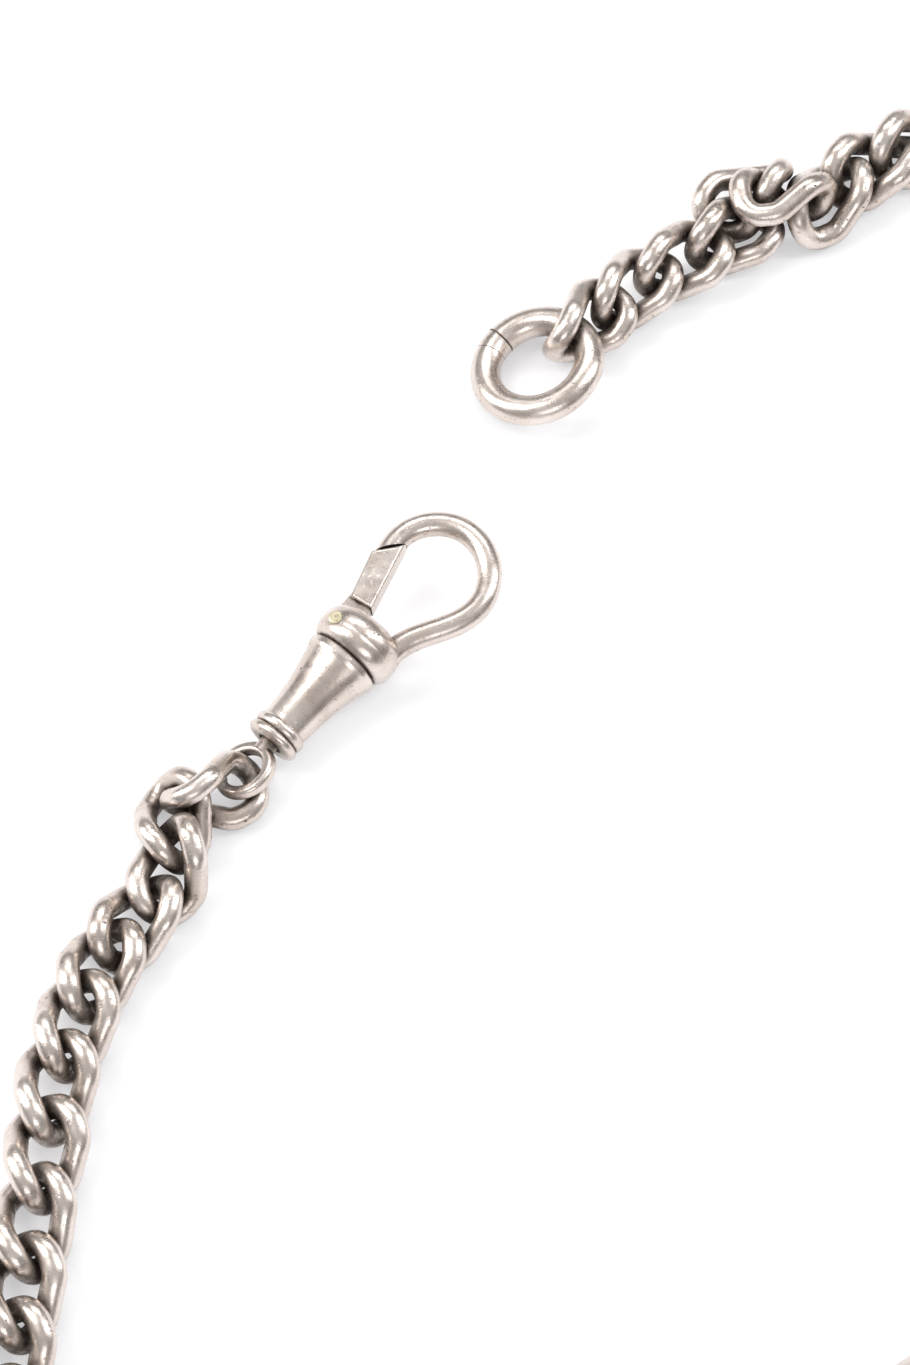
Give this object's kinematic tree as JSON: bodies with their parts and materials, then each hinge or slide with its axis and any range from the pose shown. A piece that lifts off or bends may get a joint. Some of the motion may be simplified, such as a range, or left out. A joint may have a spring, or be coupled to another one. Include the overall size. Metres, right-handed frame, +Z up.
{
  "type": "pocket watch chain",
  "caption": "Graduated curb-link pocket-watch chain with a sprung-gate swivel hook at one end and a plain round jump ring at the other, laid in a loop.",
  "frame": {"origin": "centre of the bounding box, on the table the chain lies on", "axes": "+Z up from the table; +Y along the longer side of the loop, away from the viewer; +X to the viewer's right"},
  "size_m": [0.1304, 0.1692, 0.0091],
  "materials": {
    "silver": "worn polished silver with tarnish in the hollows",
    "rivet_brass": "worn rivet head",
    "spring_steel": "spring wire"
  },
  "bodies": {
    "link_01": {"link_01": "silver"},
    "link_02": {"link_02": "silver"},
    "link_03": {"link_03": "silver"},
    "link_04": {"link_04": "silver"},
    "link_05": {"link_05": "silver"},
    "link_06": {"link_06": "silver"},
    "link_07": {"link_07": "silver"},
    "link_08": {"link_08": "silver"},
    "link_09": {"link_09": "silver"},
    "link_10": {"link_10": "silver"},
    "link_11": {"link_11": "silver"},
    "link_12": {"link_12": "silver"},
    "link_13": {"link_13": "silver"},
    "link_14": {"link_14": "silver"},
    "link_15": {"link_15": "silver"},
    "link_16": {"link_16": "silver"},
    "link_17": {"link_17": "silver"},
    "link_18": {"link_18": "silver"},
    "link_19": {"link_19": "silver"},
    "link_20": {"link_20": "silver"},
    "link_21": {"link_21": "silver"},
    "link_22": {"link_22": "silver"},
    "link_23": {"link_23": "silver"},
    "link_24": {"link_24": "silver"},
    "link_25": {"link_25": "silver"},
    "link_26": {"link_26": "silver"},
    "link_27": {"link_27": "silver"},
    "link_28": {"link_28": "silver"},
    "link_29": {"link_29": "silver"},
    "link_30": {"link_30": "silver"},
    "link_31": {"link_31": "silver"},
    "link_32": {"link_32": "silver"},
    "link_33": {"link_33": "silver"},
    "link_34": {"link_34": "silver"},
    "link_35": {"link_35": "silver"},
    "link_36": {"link_36": "silver"},
    "link_37": {"link_37": "silver"},
    "link_38": {"link_38": "silver"},
    "link_39": {"link_39": "silver"},
    "link_40": {"link_40": "silver"},
    "link_41": {"link_41": "silver"},
    "link_42": {"link_42": "silver"},
    "link_43": {"link_43": "silver"},
    "link_44": {"link_44": "silver"},
    "link_45": {"link_45": "silver"},
    "link_46": {"link_46": "silver"},
    "link_47": {"link_47": "silver"},
    "link_48": {"link_48": "silver"},
    "link_49": {"link_49": "silver"},
    "link_50": {"link_50": "silver"},
    "link_51": {"link_51": "silver"},
    "link_52": {"link_52": "silver"},
    "jump_ring": {"jump_ring": "silver"},
    "swivel_eye": {"swivel_eye": "silver", "shank_washer": "silver"},
    "swivel": {"hook": "silver", "barrel": "silver", "gate_pin": "rivet_brass", "gate_spring": "spring_steel"},
    "gate": {"gate": "silver"}
  },
  "joints": [
    {"name": "hinge_26_25", "type": "hinge", "parent": "link_26", "child": "link_25", "pos_m": [0.03362, -0.04991, 0.00431], "axis": [-0.5239, 0.2336, 0.8192], "range_deg": [-16, 16]},
    {"name": "hinge_25_24", "type": "hinge", "parent": "link_25", "child": "link_24", "pos_m": [0.03027, -0.05472, 0.00415], "axis": [-0.4012, 0.4099, -0.8192], "range_deg": [-16, 12]},
    {"name": "hinge_24_23", "type": "hinge", "parent": "link_24", "child": "link_23", "pos_m": [0.02079, -0.064, 0.00415], "axis": [0.4012, -0.4099, -0.8192], "range_deg": [-16, 16]},
    {"name": "hinge_23_22", "type": "hinge", "parent": "link_23", "child": "link_22", "pos_m": [0.0161, -0.0671, 0.00398], "axis": [0.2224, -0.5287, 0.8192], "range_deg": [-12, 16]},
    {"name": "hinge_22_21", "type": "hinge", "parent": "link_22", "child": "link_21", "pos_m": [0.00437, -0.07204, 0.00398], "axis": [-0.2224, 0.5287, 0.8192], "range_deg": [-16, 16]},
    {"name": "hinge_21_20", "type": "hinge", "parent": "link_21", "child": "link_20", "pos_m": [-0.00096, -0.07283, 0.00382], "axis": [-0.1194, 0.561, -0.8192], "range_deg": [-16, 16]},
    {"name": "hinge_20_19", "type": "hinge", "parent": "link_20", "child": "link_19", "pos_m": [-0.01289, -0.07537, 0.00382], "axis": [0.1194, -0.561, -0.8192], "range_deg": [-16, 16]},
    {"name": "hinge_19_18", "type": "hinge", "parent": "link_19", "child": "link_18", "pos_m": [-0.0179, -0.07643, 0.00365], "axis": [0.1194, -0.561, 0.8192], "range_deg": [-16, 16]},
    {"name": "hinge_18_17", "type": "hinge", "parent": "link_18", "child": "link_17", "pos_m": [-0.0293, -0.07886, 0.00365], "axis": [-0.1194, 0.561, 0.8192], "range_deg": [-16, 16]},
    {"name": "hinge_17_16", "type": "hinge", "parent": "link_17", "child": "link_16", "pos_m": [-0.03402, -0.08038, 0.00349], "axis": [0.059, 0.5705, -0.8192], "range_deg": [-16, 2]},
    {"name": "hinge_16_15", "type": "hinge", "parent": "link_16", "child": "link_15", "pos_m": [-0.04508, -0.07923, 0.00349], "axis": [-0.059, -0.5705, -0.8192], "range_deg": [-16, 4]},
    {"name": "hinge_15_14", "type": "hinge", "parent": "link_15", "child": "link_14", "pos_m": [-0.04941, -0.07731, 0.00332], "axis": [-0.3819, -0.428, 0.8192], "range_deg": [-2, 16]},
    {"name": "hinge_14_13", "type": "hinge", "parent": "link_14", "child": "link_13", "pos_m": [-0.0573, -0.07027, 0.00332], "axis": [0.3819, 0.428, 0.8192], "range_deg": [-4, 16]},
    {"name": "hinge_13_12", "type": "hinge", "parent": "link_13", "child": "link_12", "pos_m": [-0.06063, -0.06367, 0.00324], "axis": [0.495, 0.2897, 0.8192], "range_deg": [-4, 16]},
    {"name": "hinge_12_11", "type": "hinge", "parent": "link_12", "child": "link_11", "pos_m": [-0.06173, -0.05657, 0.00316], "axis": [-0.5602, -0.1234, -0.8192], "range_deg": [-16, 10]},
    {"name": "hinge_11_10", "type": "hinge", "parent": "link_11", "child": "link_10", "pos_m": [-0.06092, -0.05268, 0.00359], "axis": [-0.3992, 0.1318, 0.9074], "range_deg": [-16, 14]},
    {"name": "hinge_10_09", "type": "hinge", "parent": "link_10", "child": "link_09", "pos_m": [-0.05982, -0.0431, 0.00268], "axis": [0.7185, -0.0157, 0.6953], "range_deg": [-16, 10]},
    {"name": "hinge_09_08", "type": "hinge", "parent": "link_09", "child": "link_08", "pos_m": [-0.05924, -0.03901, 0.00347], "axis": [0.3387, -0.0476, -0.9397], "range_deg": [-4, 16]},
    {"name": "hinge_08_07", "type": "hinge", "parent": "link_08", "child": "link_07", "pos_m": [-0.05869, -0.03213, 0.00344], "axis": [0.3368, -0.0594, -0.9397], "range_deg": [-16, 16]},
    {"name": "hinge_07_06", "type": "hinge", "parent": "link_07", "child": "link_06", "pos_m": [-0.05751, -0.02558, 0.00341], "axis": [-0.3288, 0.0943, 0.9397], "range_deg": [-16, 16]},
    {"name": "hinge_06_05", "type": "hinge", "parent": "link_06", "child": "link_05", "pos_m": [-0.05493, -0.01658, 0.00341], "axis": [0.7364, -0.2111, 0.6428], "range_deg": [-12, 16]},
    {"name": "hinge_05_04", "type": "hinge", "parent": "link_05", "child": "link_04", "pos_m": [-0.05348, -0.01366, 0.00298], "axis": [0.4281, -0.3486, -0.8338], "range_deg": [-16, 8]},
    {"name": "hinge_04_03", "type": "hinge", "parent": "link_04", "child": "link_03", "pos_m": [-0.04784, -0.00639, 0.00284], "axis": [-0.4777, 0.3546, -0.8038], "range_deg": [-6, 16]},
    {"name": "hinge_03_02", "type": "hinge", "parent": "link_03", "child": "link_02", "pos_m": [-0.04715, -0.00397, 0.00373], "axis": [-0.5385, 0.0826, 0.8386], "range_deg": [-14, 4]},
    {"name": "hinge_02_01", "type": "hinge", "parent": "link_02", "child": "link_01", "pos_m": [-0.04707, 0.00194, 0.00505], "axis": [0.4701, -0.2931, 0.8325], "range_deg": [-2, 6]},
    {"name": "hinge_26_27", "type": "hinge", "parent": "link_26", "child": "link_27", "pos_m": [0.03924, -0.0373, 0.00431], "axis": [0.5239, -0.2336, 0.8192], "range_deg": [-16, 16]},
    {"name": "hinge_27_28", "type": "hinge", "parent": "link_27", "child": "link_28", "pos_m": [0.04025, -0.03139, 0.00423], "axis": [0.5583, -0.1314, -0.8192], "range_deg": [-16, 16]},
    {"name": "hinge_28_29", "type": "hinge", "parent": "link_28", "child": "link_29", "pos_m": [0.04335, -0.01821, 0.00423], "axis": [-0.5583, 0.1314, -0.8192], "range_deg": [-16, 16]},
    {"name": "hinge_29_30", "type": "hinge", "parent": "link_29", "child": "link_30", "pos_m": [0.04466, -0.01265, 0.00406], "axis": [-0.5583, 0.1314, 0.8192], "range_deg": [-16, 16]},
    {"name": "hinge_30_31", "type": "hinge", "parent": "link_30", "child": "link_31", "pos_m": [0.04763, 0, 0.00406], "axis": [0.5583, -0.1314, 0.8192], "range_deg": [-16, 12]},
    {"name": "hinge_31_32", "type": "hinge", "parent": "link_31", "child": "link_32", "pos_m": [0.04889, 0.00533, 0.0039], "axis": [0.5583, -0.1314, -0.8192], "range_deg": [-16, 16]},
    {"name": "hinge_32_33", "type": "hinge", "parent": "link_32", "child": "link_33", "pos_m": [0.05174, 0.01745, 0.0039], "axis": [-0.5583, 0.1314, -0.8192], "range_deg": [-14, 16]},
    {"name": "hinge_33_34", "type": "hinge", "parent": "link_33", "child": "link_34", "pos_m": [0.05294, 0.02256, 0.00373], "axis": [-0.5583, 0.1314, 0.8192], "range_deg": [-16, 16]},
    {"name": "hinge_34_35", "type": "hinge", "parent": "link_34", "child": "link_35", "pos_m": [0.05567, 0.03416, 0.00373], "axis": [0.5583, -0.1314, 0.8192], "range_deg": [-16, 16]},
    {"name": "hinge_35_36", "type": "hinge", "parent": "link_35", "child": "link_36", "pos_m": [0.05682, 0.03904, 0.00357], "axis": [0.5583, -0.1314, -0.8192], "range_deg": [-14, 16]},
    {"name": "hinge_36_37", "type": "hinge", "parent": "link_36", "child": "link_37", "pos_m": [0.05943, 0.05013, 0.00357], "axis": [-0.5583, 0.1314, -0.8192], "range_deg": [-16, 16]},
    {"name": "hinge_37_38", "type": "hinge", "parent": "link_37", "child": "link_38", "pos_m": [0.06124, 0.05783, 0.00349], "axis": [-0.5583, 0.1314, -0.8192], "range_deg": [-10, 16]},
    {"name": "hinge_38_39", "type": "hinge", "parent": "link_38", "child": "link_39", "pos_m": [0.06001, 0.0655, 0.0034], "axis": [0.571, 0.0538, 0.8192], "range_deg": [-16, 10]},
    {"name": "hinge_39_40", "type": "hinge", "parent": "link_39", "child": "link_40", "pos_m": [0.05648, 0.07221, 0.00332], "axis": [-0.524, -0.2333, -0.8192], "range_deg": [-10, 16]},
    {"name": "hinge_40_41", "type": "hinge", "parent": "link_40", "child": "link_41", "pos_m": [0.05114, 0.07731, 0.00324], "axis": [-0.4221, -0.3884, -0.8192], "range_deg": [-10, 16]},
    {"name": "hinge_41_42", "type": "hinge", "parent": "link_41", "child": "link_42", "pos_m": [0.04462, 0.08035, 0.00316], "axis": [-0.276, -0.5028, -0.8192], "range_deg": [-10, 16]},
    {"name": "hinge_42_43", "type": "hinge", "parent": "link_42", "child": "link_43", "pos_m": [0.03766, 0.08113, 0.00308], "axis": [0.101, 0.5646, 0.8192], "range_deg": [-16, 6]},
    {"name": "hinge_43_44", "type": "hinge", "parent": "link_43", "child": "link_44", "pos_m": [0.03327, 0.08064, 0.00261], "axis": [-0.3988, 0.6, -0.6935], "range_deg": [-4, 16]},
    {"name": "hinge_44_45", "type": "hinge", "parent": "link_44", "child": "link_45", "pos_m": [0.02483, 0.07617, 0.0036], "axis": [0.109, -0.4061, -0.9073], "range_deg": [-14, 6]},
    {"name": "hinge_45_46", "type": "hinge", "parent": "link_45", "child": "link_46", "pos_m": [0.01971, 0.07357, 0.00317], "axis": [0.2261, -0.4493, -0.8643], "range_deg": [-4, 16]},
    {"name": "hinge_46_47", "type": "hinge", "parent": "link_46", "child": "link_47", "pos_m": [0.01876, 0.07134, 0.00395], "axis": [-0.226, -0.3183, -0.9207], "range_deg": [-6, 6]},
    {"name": "hinge_47_48", "type": "hinge", "parent": "link_47", "child": "link_48", "pos_m": [0.0144, 0.07399, 0.00508], "axis": [0.1259, 0.418, -0.8997], "range_deg": [-2, 2]},
    {"name": "hinge_48_49", "type": "hinge", "parent": "link_48", "child": "link_49", "pos_m": [0.00674, 0.06973, 0.00203], "axis": [0.5605, -0.5935, -0.5775], "range_deg": [-2, 2]},
    {"name": "hinge_49_50", "type": "hinge", "parent": "link_49", "child": "link_50", "pos_m": [0.00781, 0.06616, 0.00359], "axis": [0.4549, -0.7882, 0.4146], "range_deg": [-16, 14]},
    {"name": "hinge_50_51", "type": "hinge", "parent": "link_50", "child": "link_51", "pos_m": [-0.00013, 0.06168, 0.0038], "axis": [-0.0188, 0.0795, 0.9967], "range_deg": [-14, 16]},
    {"name": "hinge_51_52", "type": "hinge", "parent": "link_51", "child": "link_52", "pos_m": [-0.00274, 0.05925, 0.00367], "axis": [-0.6639, 0.7447, -0.0679], "range_deg": [-8, 6]},
    {"name": "ring_hinge", "type": "hinge", "parent": "link_52", "child": "jump_ring", "pos_m": [-0.00707, 0.05514, 0.00405], "axis": [-0.5962, 0.764, -0.2467], "range_deg": [-16, 16]},
    {"name": "eye_hinge", "type": "hinge", "parent": "link_01", "child": "swivel_eye", "pos_m": [-0.03929, 0.00491, 0.00171], "axis": [-0.317, 0.9431, 0.1002], "range_deg": [-16, 4]},
    {"name": "eye_swivel", "type": "hinge", "parent": "swivel_eye", "child": "swivel", "pos_m": [-0.03583, 0.01136, 0.00351], "axis": [0.6459, 0.7562, 0.1045], "continuous": true},
    {"name": "gate_hinge", "type": "hinge", "parent": "swivel", "child": "gate", "pos_m": [-0.03115, 0.02038, 0.00455], "axis": [-0.0679, -0.0795, 0.9945], "range_deg": [-25, 0], "stiffness_Nm_per_rad": 0.004, "springref_deg": 20.05}
  ]
}
